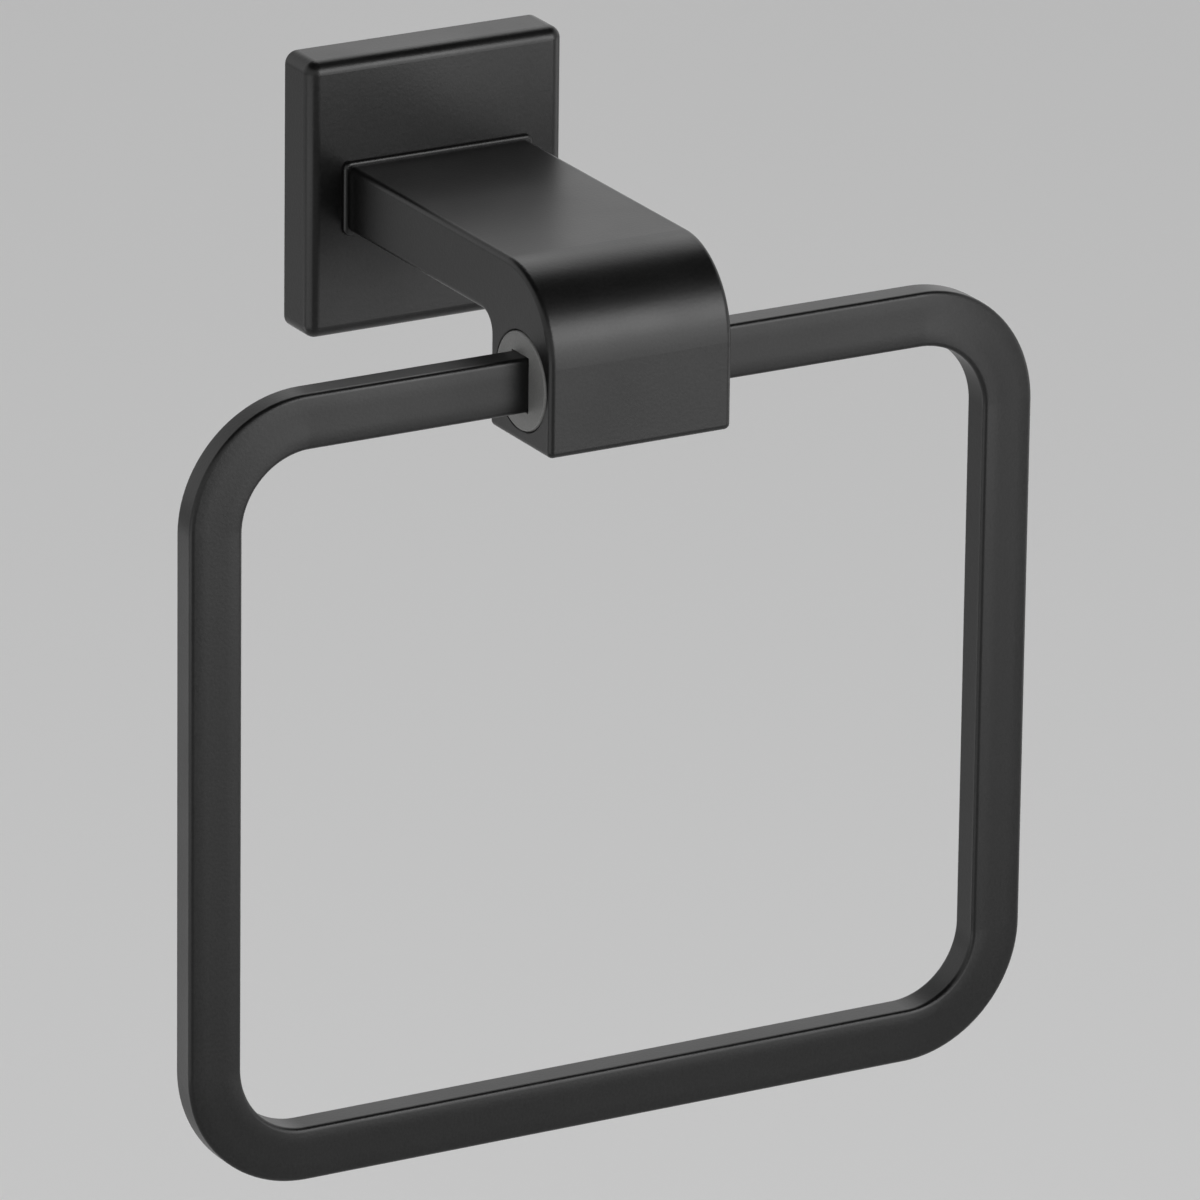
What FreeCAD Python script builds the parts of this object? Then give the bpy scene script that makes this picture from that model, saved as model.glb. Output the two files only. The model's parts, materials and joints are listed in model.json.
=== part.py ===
"""Wall-mounted towel ring: a square cover plate, an arm with a drop head, and a ring that swings in it.

Millimetres. The origin is the centre of the cover plate's back, in the plane of the wall.
+Z is up, -Y points out into the room and X runs along the wall.
"""

import FreeCAD, Part
import Sketcher
import os

PARTS_FOLDER = "parts"
VECTOR = FreeCAD.Vector
START, END, MIDDLE = range(1, 4)
HORIZONTAL_AXIS, VERTICAL_AXIS = range(-1, -3, -1)
NEAR = 1e-3

# Driving sizes: name, value, what it measures
SIZES = (
    ("plate_side", 51.0, "outer width and height of the cover plate"),
    ("plate_depth", 9.2, "how far the cover plate stands out from the wall"),
    ("plate_web", 3.0, "thickness of the cover plate's front"),
    ("plate_rim", 2.4, "thickness of the cover plate's four sides"),
    ("plate_edge", 2.3, "rounding of the cover plate's corners and of its front"),
    ("hollow_corner", 1.5, "corner radius of the hollow behind the cover plate"),
    ("arm_width", 36.0, "width of the arm and its head along the wall"),
    ("arm_height", 12.0, "height of the arm"),
    ("arm_edge", 1.1, "rounding of the arm's long edges"),
    ("collar_margin", 0.9, "how far the foot collar stands out round the arm"),
    ("collar_rise", 1.0, "how far the foot collar stands off the cover plate"),
    ("collar_corner", 1.4, "corner radius of the foot collar"),
    ("collar_edge", 0.65, "rounding round the front of the foot collar"),
    ("reach", 83.5, "from the wall to the front of the head"),
    ("nose_radius", 16.0, "bend from the top of the arm down the front of the head"),
    ("armpit_radius", 3.5, "inside bend from the arm down the back of the head"),
    ("head_face", 1.5, "metal in front of the bush bores"),
    ("head_back", 2.3, "metal behind the bush bores"),
    ("head_floor", 2.4, "metal under the bush bores"),
    ("pivot_drop", 14.8, "from the middle of the arm down to the swing axis"),
    ("bore_size", 17.8, "diameter of the bush bores"),
    ("bore_depth", 10.0, "depth of each bush bore"),
    ("waist_size", 14.0, "diameter of the passage between the bush bores"),
    ("bore_lead", 0.3, "chamfer at the mouth of each bush bore"),
    ("bush_running", 0.05, "radial clearance of a bush in its bore"),
    ("bush_end_gap", 0.3, "gap between a bush and the shoulder behind it"),
    ("bush_proud", 0.2, "how far a bush stands out of the head"),
    ("bush_bevel", 0.3, "bevel round the outer rim of a bush"),
    ("bar_height", 10.0, "ring bar in the plane of the ring"),
    ("bar_thickness", 6.0, "ring bar across the plane of the ring"),
    ("bar_bevel", 0.8, "bevel along the ring bar's four long edges"),
    ("bar_fit", 0.05, "clearance on each side of the bar in its bush"),
    ("ring_width", 167.0, "outer width of the ring"),
    ("ring_height", 144.5, "outer height of the ring"),
    ("ring_bend", 18.0, "corner bend of the ring on the bar's centre line"),
    ("ring_split", 0.8, "gap between the two ends of the bar inside the head"),
    ("bracket_width", 32.0, "width of the wall bracket"),
    ("bracket_height", 38.0, "height of the wall bracket at its front"),
    ("bracket_depth", 5.0, "thickness of the wall bracket"),
    ("bracket_bevel", 2.0, "how far its top and bottom edges run back under"),
    ("bracket_corner", 3.0, "corner radius of the wall bracket"),
    ("wall_hole", 4.6, "diameter of the two wall screw holes"),
    ("wall_sink", 9.0, "countersink diameter of the wall screw holes"),
    ("wall_spacing", 22.0, "distance between the wall screw holes"),
    ("lip_width", 20.0, "width of the lip that hooks over the bracket"),
    ("lip_back", 0.8, "from the wall to the back of the lip"),
    ("lip_front", 4.2, "from the wall to the front of the lip"),
    ("screw_size", 4.0, "shank diameter of the arm screws"),
    ("screw_head", 8.0, "head diameter of the arm screws"),
    ("screw_grip", 7.0, "how far the arm screws go into the arm"),
    ("screw_inset", 8.0, "from the side of the arm to the axis of the arm screw next to it"),
    ("screw_passage", 4.5, "clearance hole for an arm screw in the cover plate"),
    ("screw_key", 2.5, "hex key for the arm screws"),
    ("screw_key_depth", 1.6, "depth of the hex sockets in the arm screws"),
    ("tap_spare", 2.0, "tapped depth past the end of an arm screw"),
    ("thread_clearance", 0.05, "radial clearance that stands for a thread"),
    ("seat_clearance", 0.02, "clearance where a screw seats"),
    ("sink_angle", 90.0, "countersink angle in degrees"),
    ("grub_size", 4.0, "diameter of the grub screw"),
    ("grub_length", 6.0, "length of the grub screw"),
    ("grub_tip", 2.4, "diameter of the grub screw's flat tip"),
    ("grub_inset", 2.6, "from the wall to the axis of the grub screw"),
    ("grub_key", 2.0, "hex key for the grub screw"),
    ("grub_key_depth", 2.4, "depth of the hex socket in the grub screw"),
    ("boss_width", 9.0, "width of the thick part of the rim round the grub screw"),
    ("boss_height", 3.0, "height of that thick part inside the cover plate"),
    ("boss_back", 0.4, "from the wall to the back of that thick part"),
)

# Lines that several pieces share, worked out from the sizes
PLATE_HALF = "Sizes.plate_side / 2"
HOLLOW_HALF = "(Sizes.plate_side / 2 - Sizes.plate_rim)"
HOLLOW_DEPTH = "(Sizes.plate_depth - Sizes.plate_web)"
ARM_HALF = "Sizes.arm_width / 2"
ARM_TOP = "Sizes.arm_height / 2"
SCREW_OFFSET = "(Sizes.arm_width / 2 - Sizes.screw_inset)"
PIVOT_REACH = "(Sizes.reach - Sizes.head_face - Sizes.bore_size / 2)"
HEAD_REACH = "(Sizes.reach - Sizes.head_face - Sizes.bore_size - Sizes.head_back)"
HEAD_BOTTOM = "-(Sizes.pivot_drop + Sizes.bore_size / 2 + Sizes.head_floor)"
BRACKET_FRONT_TOP = "Sizes.bracket_height / 2"
BRACKET_BACK_TOP = "(Sizes.bracket_height / 2 - Sizes.bracket_bevel)"
BEVEL_SLOPE = "Sizes.bracket_bevel / Sizes.bracket_depth"
GRUB_TIP_LEVEL = (
    f"({BRACKET_BACK_TOP} + (Sizes.grub_inset + Sizes.grub_tip / 2) * {BEVEL_SLOPE}"
    " + Sizes.seat_clearance)"
)


def make_sheet(doc):
    """Write the driving sizes into the spreadsheet, each with its alias."""
    sheet = doc.addObject("Spreadsheet::Sheet", "Sizes")
    for row, (alias, value, note) in enumerate(SIZES, start=1):
        sheet.set(f"A{row}", alias)
        sheet.set(f"B{row}", str(value))
        sheet.set(f"C{row}", note)
        sheet.setAlias(f"B{row}", alias)
    doc.recompute()
    return sheet


class Piece:
    """One piece of the product, as a PartDesign body with every size bound to the sheet."""

    def __init__(self, doc, sheet, name):
        self.doc = doc
        self.sheet = sheet
        self.body = doc.addObject("PartDesign::Body", name)
        self.body.Label = name

    def number(self, formula):
        """The present value of a formula, which places a sketch's first draft."""
        return float(self.sheet.evalExpression(formula))

    def sketch(self, name, plane, offset=("0", "0", "0")):
        """A sketch on one of the body's own planes, moved by three formulas in the plane's axes."""
        drawing = self.body.newObject("Sketcher::SketchObject", name)
        origin = next(o for o in self.body.Origin.OriginFeatures if o.Role == plane)
        drawing.AttachmentSupport = [(origin, "")]
        drawing.MapMode = "FlatFace"
        for axis, formula in zip("xyz", offset):
            if formula != "0":
                drawing.setExpression(f"AttachmentOffset.Base.{axis}", formula)
        return drawing

    def dimension(self, drawing, kind, geometry, position, formula):
        """Pin one coordinate of a point to a formula, or to a sketch axis where it is zero."""
        if formula == "0":
            axis = VERTICAL_AXIS if kind == "DistanceX" else HORIZONTAL_AXIS
            drawing.addConstraint(Sketcher.Constraint("PointOnObject", geometry, position, axis))
            return
        value = self.number(formula)
        index = drawing.addConstraint(Sketcher.Constraint(kind, geometry, position, value))
        drawing.setExpression(f"Constraints[{index}]", formula)

    def outline(self, drawing, corners, closed=True):
        """Draw straight runs through the corners, with a tangent arc where a corner has a radius.

        A corner is (x formula, y formula) or (x formula, y formula, radius formula). Two corners
        that share a formula are level or plumb, and a rounded corner lies between two such runs.
        """
        count = len(corners)
        spots = [VECTOR(self.number(c[0]), self.number(c[1]), 0) for c in corners]
        radii = [self.number(c[2]) if len(c) > 2 else 0.0 for c in corners]
        runs = []
        for i in range(count if closed else count - 1):
            j = (i + 1) % count
            along = (spots[j] - spots[i]).normalize()
            first = spots[i] + along * radii[i]
            last = spots[j] - along * radii[j]
            runs.append(drawing.addGeometry(Part.LineSegment(first, last), False))
            if corners[i][0] == corners[j][0]:
                drawing.addConstraint(Sketcher.Constraint("Vertical", runs[-1]))
            elif corners[i][1] == corners[j][1]:
                drawing.addConstraint(Sketcher.Constraint("Horizontal", runs[-1]))
        for i in range(0 if closed else 1, count if closed else count - 1):
            self.join(drawing, runs[i - 1], runs[i], spots[i], radii[i], corners[i])
        self.pin(drawing, corners, runs, closed)

    def join(self, drawing, before, after, spot, radius, corner):
        """Join two runs at a corner, sharp or with a tangent arc."""
        if not radius:
            drawing.addConstraint(Sketcher.Constraint("Coincident", before, END, after, START))
            return
        first = drawing.Geometry[before].EndPoint
        last = drawing.Geometry[after].StartPoint
        centre = first + last - spot
        middle = centre + (spot - centre).normalize() * radius
        if (spot - first).cross(last - spot).z > 0:
            ends, arc_shape = (START, END), Part.Arc(first, middle, last)
        else:
            ends, arc_shape = (END, START), Part.Arc(last, middle, first)
        arc = drawing.addGeometry(arc_shape, False)
        drawing.addConstraint(Sketcher.Constraint("Tangent", before, END, arc, ends[0]))
        drawing.addConstraint(Sketcher.Constraint("Tangent", arc, ends[1], after, START))
        index = drawing.addConstraint(Sketcher.Constraint("Radius", arc, radius))
        drawing.setExpression(f"Constraints[{index}]", corner[2])

    def pin(self, drawing, corners, runs, closed):
        """Dimension each level or plumb run once, and the free coordinates of the other corners."""
        count = len(corners)
        for i, run in enumerate(runs):
            j = (i + 1) % count
            if corners[i][0] == corners[j][0]:
                self.dimension(drawing, "DistanceX", run, START, corners[i][0])
            elif corners[i][1] == corners[j][1]:
                self.dimension(drawing, "DistanceY", run, START, corners[i][1])
        for i in range(count):
            near = []
            if closed or i > 0:
                near.append((runs[i - 1], END, corners[i - 1]))
            if closed or i < count - 1:
                near.append((runs[i] if i < len(runs) else runs[0], START, corners[(i + 1) % count]))
            run, end, _ = near[-1]
            if not any(other[0] == corners[i][0] for _, _, other in near):
                self.dimension(drawing, "DistanceX", run, end, corners[i][0])
            if not any(other[1] == corners[i][1] for _, _, other in near):
                self.dimension(drawing, "DistanceY", run, end, corners[i][1])

    def circles(self, drawing, centres, diameter):
        """Draw equal circles at the given centres."""
        for x, y in centres:
            spot = VECTOR(self.number(x), self.number(y), 0)
            round_ = Part.Circle(spot, VECTOR(0, 0, 1), self.number(diameter) / 2)
            index = drawing.addGeometry(round_, False)
            self.dimension(drawing, "DistanceX", index, MIDDLE, x)
            self.dimension(drawing, "DistanceY", index, MIDDLE, y)
            size = drawing.addConstraint(Sketcher.Constraint("Diameter", index, 2 * round_.Radius))
            drawing.setExpression(f"Constraints[{size}]", diameter)

    def hexagon(self, drawing, across_flats):
        """Draw a hexagon round the sketch's origin, with two plumb sides."""
        size = f"{across_flats} / cos(30)"
        spot = VECTOR(0, self.number(size) / 2, 0)
        guide = drawing.addGeometry(Part.Circle(VECTOR(0, 0, 0), VECTOR(0, 0, 1), spot.y), True)
        drawing.addConstraint(Sketcher.Constraint("Coincident", guide, MIDDLE, HORIZONTAL_AXIS, START))
        index = drawing.addConstraint(Sketcher.Constraint("Diameter", guide, 2 * spot.y))
        drawing.setExpression(f"Constraints[{index}]", size)
        spots = [spot]
        turn = FreeCAD.Rotation(VECTOR(0, 0, 1), 60)
        for _ in range(5):
            spots.append(turn.multVec(spots[-1]))
        sides = []
        for i in range(6):
            sides.append(drawing.addGeometry(Part.LineSegment(spots[i], spots[(i + 1) % 6]), False))
        for i in range(6):
            drawing.addConstraint(Sketcher.Constraint("Coincident", sides[i - 1], END, sides[i], START))
            drawing.addConstraint(Sketcher.Constraint("PointOnObject", sides[i], START, guide))
            if i:
                drawing.addConstraint(Sketcher.Constraint("Equal", sides[0], sides[i]))
        drawing.addConstraint(Sketcher.Constraint("PointOnObject", sides[0], START, VERTICAL_AXIS))

    def feature(self, kind, name, **settings):
        """Add a PartDesign feature. A setting that is text starting with = is an expression."""
        self.doc.recompute()
        made = self.body.newObject(f"PartDesign::{kind}", name)
        for key, setting in settings.items():
            if isinstance(setting, str) and setting.startswith("="):
                made.setExpression(key, setting[1:])
            else:
                setattr(made, key, setting)
        self.doc.recompute()
        return made

    def round_edges(self, name, radius, wanted):
        """Round each edge of the present solid for which wanted(edge) is true."""
        base = self.body.Tip
        names = [f"Edge{i}" for i, e in enumerate(base.Shape.Edges, start=1) if wanted(e)]
        return self.feature("Fillet", name, Base=(base, names), Radius="=" + radius)


def flat_at(edge, axis, place):
    """Whether an edge lies wholly in the plane where the named coordinate is at place."""
    box = edge.BoundBox
    low, high = getattr(box, axis + "Min"), getattr(box, axis + "Max")
    return abs(low - place) < NEAR and abs(high - place) < NEAR


def straight_along(edge, axis):
    """Whether an edge is straight and runs along the named axis."""
    box = edge.BoundBox
    spans = {name: getattr(box, name + "Length") for name in "XYZ"}
    return all((span < NEAR) != (name == axis) for name, span in spans.items())


def rectangle(half_x, half_y, radius=None):
    """Corners of an upright rectangle round the sketch's origin."""
    ends = ((f"-({half_x})", f"-({half_y})"), (half_x, f"-({half_y})"), (half_x, half_y),
            (f"-({half_x})", half_y))
    return [corner + (radius,) if radius else corner for corner in ends]


def octagon(half_x, half_y, bevel):
    """Corners of an upright rectangle round the sketch's origin, each cut off by a bevel."""
    short_x, short_y = f"({half_x} - {bevel})", f"({half_y} - {bevel})"
    return (
        (f"-{short_x}", f"-({half_y})"), (short_x, f"-({half_y})"),
        (half_x, f"-{short_y}"), (half_x, short_y),
        (short_x, half_y), (f"-{short_x}", half_y),
        (f"-({half_x})", short_y), (f"-({half_x})", f"-{short_y}"),
    )


def make_wall_plate(doc, sheet):
    """The cover plate: a hollow square box with a lip above, and a tapped boss below."""
    piece = Piece(doc, sheet, "wall_plate")
    face = piece.sketch("PlateFace", "XZ_Plane")
    piece.outline(face, rectangle(PLATE_HALF, PLATE_HALF))
    piece.feature("Pad", "PlateBlock", Profile=face, Length="=Sizes.plate_depth")
    piece.round_edges("PlateEdges", "Sizes.plate_edge", lambda e: not flat_at(e, "Y", 0))

    hollow = piece.sketch("PlateHollow", "XZ_Plane")
    piece.outline(hollow, rectangle(HOLLOW_HALF, HOLLOW_HALF, "Sizes.hollow_corner"))
    piece.feature("Pocket", "PlateShell", Profile=hollow, Length="=" + HOLLOW_DEPTH, Reversed=True)

    lip = piece.sketch("LipSection", "YZ_Plane")
    back, ahead = "-Sizes.lip_back", "-Sizes.lip_front"
    piece.outline(lip, (
        (back, f"{BRACKET_BACK_TOP} + Sizes.lip_back * {BEVEL_SLOPE}"),
        (ahead, f"{BRACKET_BACK_TOP} + Sizes.lip_front * {BEVEL_SLOPE}"),
        (ahead, HOLLOW_HALF),
        (back, HOLLOW_HALF),
    ))
    piece.feature("Pad", "Lip", Profile=lip, Length="=Sizes.lip_width", SideType="Symmetric")

    boss = piece.sketch("BossOutline", "XZ_Plane", ("0", "0", "Sizes.boss_back"))
    piece.outline(boss, (
        ("-Sizes.boss_width / 2", f"-{HOLLOW_HALF}"),
        ("Sizes.boss_width / 2", f"-{HOLLOW_HALF}"),
        ("Sizes.boss_width / 2", f"Sizes.boss_height - {HOLLOW_HALF}"),
        ("-Sizes.boss_width / 2", f"Sizes.boss_height - {HOLLOW_HALF}"),
    ))
    piece.feature("Pad", "GrubBoss", Profile=boss, Length=f"={HOLLOW_DEPTH} - Sizes.boss_back")

    grub = piece.sketch("GrubHoleCentre", "XY_Plane", ("0", "-Sizes.grub_inset", f"-{PLATE_HALF}"))
    grub_tap = "Sizes.grub_size + 2 * Sizes.thread_clearance"
    piece.circles(grub, (("0", "0"),), grub_tap)
    piece.feature("Hole", "GrubHole", Profile=grub, Diameter="=" + grub_tap, DrillPoint="Flat",
                  Depth="=Sizes.plate_rim + Sizes.boss_height", Reversed=True)

    passages = piece.sketch("ScrewPassages", "XZ_Plane", ("0", "0", HOLLOW_DEPTH))
    piece.circles(passages, screw_centres(), "Sizes.screw_passage")
    piece.feature("Hole", "ScrewSinks", Profile=passages, Diameter="=Sizes.screw_passage",
                  DepthType="Dimension", Depth="=Sizes.plate_web", DrillPoint="Flat", Reversed=True,
                  HoleCutType="Countersink", HoleCutCustomValues=True,
                  HoleCutDiameter="=Sizes.screw_head", HoleCutCountersinkAngle="=Sizes.sink_angle")
    return piece.body


def screw_centres():
    """Where the two arm screws stand, in the plane of the wall."""
    return ((f"-{SCREW_OFFSET}", "0"), (SCREW_OFFSET, "0"))


def make_arm(doc, sheet):
    """The casting: foot collar, arm, curved nose and head, bored for the two bushes."""
    piece = Piece(doc, sheet, "arm")
    side = piece.sketch("ArmSide", "YZ_Plane")
    root, front, back = "-Sizes.plate_depth", "-Sizes.reach", f"-{HEAD_REACH}"
    piece.outline(side, (
        (root, ARM_TOP),
        (front, ARM_TOP, "Sizes.nose_radius"),
        (front, HEAD_BOTTOM),
        (back, HEAD_BOTTOM),
        (back, f"-{ARM_TOP}", "Sizes.armpit_radius"),
        (root, f"-{ARM_TOP}"),
    ))
    piece.feature("Pad", "ArmBlock", Profile=side, Length="=Sizes.arm_width", SideType="Symmetric")

    half = piece.number(ARM_HALF)
    low = piece.number(HEAD_BOTTOM)
    root_level = -piece.number("Sizes.plate_depth")

    def on_outline(edge):
        in_side = flat_at(edge, "X", half) or flat_at(edge, "X", -half)
        return (in_side and not flat_at(edge, "Y", root_level)) or (
            straight_along(edge, "X") and flat_at(edge, "Z", low))

    piece.round_edges("ArmEdges", "Sizes.arm_edge", on_outline)

    collar = piece.sketch("CollarOutline", "XZ_Plane", ("0", "0", "Sizes.plate_depth"))
    piece.outline(collar, rectangle(f"{ARM_HALF} + Sizes.collar_margin",
                                    f"{ARM_TOP} + Sizes.collar_margin", "Sizes.collar_corner"))
    piece.feature("Pad", "Collar", Profile=collar, Length="=Sizes.collar_rise")
    collar_front = root_level - piece.number("Sizes.collar_rise")
    arm_box = (half + NEAR, piece.number(ARM_TOP) + NEAR)

    def on_collar(edge):
        box = edge.BoundBox
        outside = box.XMax > arm_box[0] or box.XMin < -arm_box[0] or max(box.ZMax, -box.ZMin) > arm_box[1]
        return flat_at(edge, "Y", collar_front) and outside

    piece.round_edges("CollarEdge", "Sizes.collar_edge", on_collar)

    bore = piece.sketch("BoreSection", "XY_Plane", ("0", f"-{PIVOT_REACH}", "-Sizes.pivot_drop"))
    wall = "Sizes.bore_size / 2"
    mouth = f"{wall} + Sizes.bore_lead"
    shoulder = f"{ARM_HALF} - Sizes.bore_depth"
    lead = f"{ARM_HALF} - Sizes.bore_lead"
    piece.outline(bore, (
        (f"-({ARM_HALF})", "0"),
        (ARM_HALF, "0"),
        (ARM_HALF, mouth),
        (lead, wall),
        (shoulder, wall),
        (shoulder, "Sizes.waist_size / 2"),
        (f"-({shoulder})", "Sizes.waist_size / 2"),
        (f"-({shoulder})", wall),
        (f"-({lead})", wall),
        (f"-({ARM_HALF})", mouth),
    ))
    piece.feature("Groove", "BushBores", Profile=bore, ReferenceAxis=(bore, ["H_Axis"]))

    taps = piece.sketch("TapCentres", "XZ_Plane", ("0", "0", "Sizes.plate_depth"))
    tap = "Sizes.screw_size + 2 * Sizes.thread_clearance"
    piece.circles(taps, screw_centres(), tap)
    piece.feature("Hole", "ScrewTaps", Profile=taps, Diameter="=" + tap, DepthType="Dimension",
                  Depth="=Sizes.screw_grip + Sizes.tap_spare", DrillPoint="Angled", Reversed=True)
    return piece.body


def make_arm_screw(doc, sheet, name, side):
    """A countersunk screw that holds the arm from inside the cover plate."""
    piece = Piece(doc, sheet, name)
    axis = f"{side}{SCREW_OFFSET}"
    turned = piece.sketch("ScrewSection", "XY_Plane", (axis, f"-{HOLLOW_DEPTH}", "0"))
    shank = "Sizes.screw_size / 2"
    rim = "(Sizes.screw_head / 2 - Sizes.seat_clearance)"
    tip = "-(Sizes.plate_web + Sizes.screw_grip)"
    piece.outline(turned, (
        ("0", "0"),
        (rim, "0"),
        (shank, f"-({rim} - {shank}) / tan(Sizes.sink_angle / 2)"),
        (shank, tip),
        ("0", tip),
    ))
    piece.feature("Revolution", "ScrewBlank", Profile=turned, ReferenceAxis=(turned, ["V_Axis"]))
    key = piece.sketch("ScrewKey", "XZ_Plane", (axis, "0", HOLLOW_DEPTH))
    piece.hexagon(key, "Sizes.screw_key")
    piece.feature("Pocket", "ScrewSocket", Profile=key, Length="=Sizes.screw_key_depth", Reversed=True)
    return piece.body


def make_wall_bracket(doc, sheet):
    """The hidden bracket: a block whose top and bottom run back under, screwed to the wall."""
    piece = Piece(doc, sheet, "wall_bracket")
    section = piece.sketch("BracketSection", "YZ_Plane")
    piece.outline(section, (
        ("0", f"-{BRACKET_BACK_TOP}"),
        ("-Sizes.bracket_depth", f"-{BRACKET_FRONT_TOP}"),
        ("-Sizes.bracket_depth", BRACKET_FRONT_TOP),
        ("0", BRACKET_BACK_TOP),
    ))
    piece.feature("Pad", "BracketBlock", Profile=section, Length="=Sizes.bracket_width", SideType="Symmetric")
    side = piece.number("Sizes.bracket_width") / 2
    deep = piece.number("Sizes.bracket_depth")

    def at_corner(edge):
        box = edge.BoundBox
        return (flat_at(edge, "X", side) or flat_at(edge, "X", -side)) and abs(box.YLength - deep) < NEAR

    piece.round_edges("BracketCorners", "Sizes.bracket_corner", at_corner)
    centres = piece.sketch("WallHoleCentres", "XZ_Plane", ("0", "0", "Sizes.bracket_depth"))
    piece.circles(centres, (("0", "Sizes.wall_spacing / 2"), ("0", "-Sizes.wall_spacing / 2")), "Sizes.wall_hole")
    piece.feature("Hole", "WallHoles", Profile=centres, Diameter="=Sizes.wall_hole",
                  DepthType="ThroughAll", HoleCutType="Countersink", HoleCutCustomValues=True,
                  HoleCutDiameter="=Sizes.wall_sink", HoleCutCountersinkAngle="=Sizes.sink_angle")
    return piece.body


def make_grub_screw(doc, sheet):
    """The set screw under the cover plate, whose tip bears on the bracket's lower bevel."""
    piece = Piece(doc, sheet, "grub_screw")
    turned = piece.sketch("GrubSection", "XZ_Plane", ("0", f"-{GRUB_TIP_LEVEL}", "Sizes.grub_inset"))
    radius, tip = "Sizes.grub_size / 2", "Sizes.grub_tip / 2"
    piece.outline(turned, (
        ("0", "0"),
        (tip, "0"),
        (radius, f"{tip} - {radius}"),
        (radius, "-Sizes.grub_length"),
        ("0", "-Sizes.grub_length"),
    ))
    piece.feature("Revolution", "GrubBlank", Profile=turned, ReferenceAxis=(turned, ["V_Axis"]))
    level = f"-{GRUB_TIP_LEVEL} - Sizes.grub_length"
    key = piece.sketch("GrubKey", "XY_Plane", ("0", "-Sizes.grub_inset", level))
    piece.hexagon(key, "Sizes.grub_key")
    piece.feature("Pocket", "GrubSocket", Profile=key, Length="=Sizes.grub_key_depth", Reversed=True)
    return piece.body


def make_ring_bar(doc, sheet):
    """The ring: one flat bar with eased edges, bent round so that its ends meet in the head."""
    piece = Piece(doc, sheet, "ring_bar")
    route = piece.sketch("RingRoute", "XZ_Plane", ("0", "-Sizes.pivot_drop", PIVOT_REACH))
    right, left = "(Sizes.ring_width - Sizes.bar_height) / 2", "-(Sizes.ring_width - Sizes.bar_height) / 2"
    bottom = "Sizes.bar_height - Sizes.ring_height"
    bend = "Sizes.ring_bend"
    piece.outline(route, (
        ("Sizes.ring_split / 2", "0"),
        (right, "0", bend),
        (right, bottom, bend),
        (left, bottom, bend),
        (left, "0", bend),
        ("-Sizes.ring_split / 2", "0"),
    ), closed=False)
    section = piece.sketch("BarSection", "YZ_Plane",
                           (f"-{PIVOT_REACH}", "-Sizes.pivot_drop", "Sizes.ring_split / 2"))
    piece.outline(section, octagon("Sizes.bar_thickness / 2", "Sizes.bar_height / 2", "Sizes.bar_bevel"))
    piece.doc.recompute()
    spans = [f"Edge{i}" for i in range(1, len(route.Shape.Edges) + 1)]
    piece.feature("AdditivePipe", "BentBar", Profile=section, Spine=(route, spans))
    return piece.body


def make_bush(doc, sheet, name, side):
    """A round bush that turns in the head, with a square-cornered slot for the ring bar."""
    piece = Piece(doc, sheet, name)
    turned = piece.sketch("BushSection", "XY_Plane", ("0", f"-{PIVOT_REACH}", "-Sizes.pivot_drop"))
    inner = f"{side}({ARM_HALF} - Sizes.bore_depth + Sizes.bush_end_gap)"
    outer = f"{side}({ARM_HALF} + Sizes.bush_proud)"
    shoulder = f"{side}({ARM_HALF} + Sizes.bush_proud - Sizes.bush_bevel)"
    radius = "(Sizes.bore_size / 2 - Sizes.bush_running)"
    piece.outline(turned, (
        (inner, "0"),
        (outer, "0"),
        (outer, f"{radius} - Sizes.bush_bevel"),
        (shoulder, radius),
        (inner, radius),
    ))
    piece.feature("Revolution", "BushBlank", Profile=turned, ReferenceAxis=(turned, ["H_Axis"]))
    slot = piece.sketch("BarSlot", "YZ_Plane", (f"-{PIVOT_REACH}", "-Sizes.pivot_drop", "0"))
    piece.outline(slot, rectangle("Sizes.bar_thickness / 2 + Sizes.bar_fit",
                                  "Sizes.bar_height / 2 + Sizes.bar_fit"))
    piece.feature("Pocket", "BushSlot", Profile=slot, Type="ThroughAll", SideType="Symmetric")
    return piece.body


def check(doc, bodies):
    """Stop if a feature failed or a piece isn't one sound solid."""
    for obj in doc.Objects:
        if {"Invalid", "Error"} & set(obj.State):
            raise RuntimeError(f"{obj.Label} failed: {obj.State}")
        if getattr(obj, "FullyConstrained", True) is False:
            raise RuntimeError(f"{obj.Label} isn't fully constrained")
    for body in bodies:
        shape = body.Shape
        if shape.isNull() or not shape.isValid() or len(shape.Solids) != 1:
            raise RuntimeError(f"{body.Label} isn't one sound solid")


def main():
    """Build the document and write each piece to its own file."""
    doc = FreeCAD.newDocument("TowelRing")
    sheet = make_sheet(doc)
    bodies = [
        make_wall_plate(doc, sheet),
        make_arm(doc, sheet),
        make_arm_screw(doc, sheet, "arm_screw_left", "-"),
        make_arm_screw(doc, sheet, "arm_screw_right", ""),
        make_wall_bracket(doc, sheet),
        make_grub_screw(doc, sheet),
        make_ring_bar(doc, sheet),
        make_bush(doc, sheet, "bush_left", "-"),
        make_bush(doc, sheet, "bush_right", ""),
    ]
    doc.recompute()
    check(doc, bodies)
    os.makedirs(PARTS_FOLDER, exist_ok=True)
    for body in bodies:
        body.Shape.exportStep(os.path.join(PARTS_FOLDER, body.Label + ".step"))
        print(f"{body.Label}: {body.Shape.Volume:.1f} mm3")


main()
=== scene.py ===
"""Looks of a wall-mounted towel ring: satin black castings, a bent flat bar and two round bushes.

Metres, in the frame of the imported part: the origin is the middle of the cover plate's back in
the plane of the wall, +Z is up, -Y points out into the room and X runs along the wall.
"""

import json
import logging
import math
from dataclasses import dataclass
from enum import Enum
from typing import Callable, Iterable, Sequence

import bpy
from mathutils import Matrix, Vector

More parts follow.
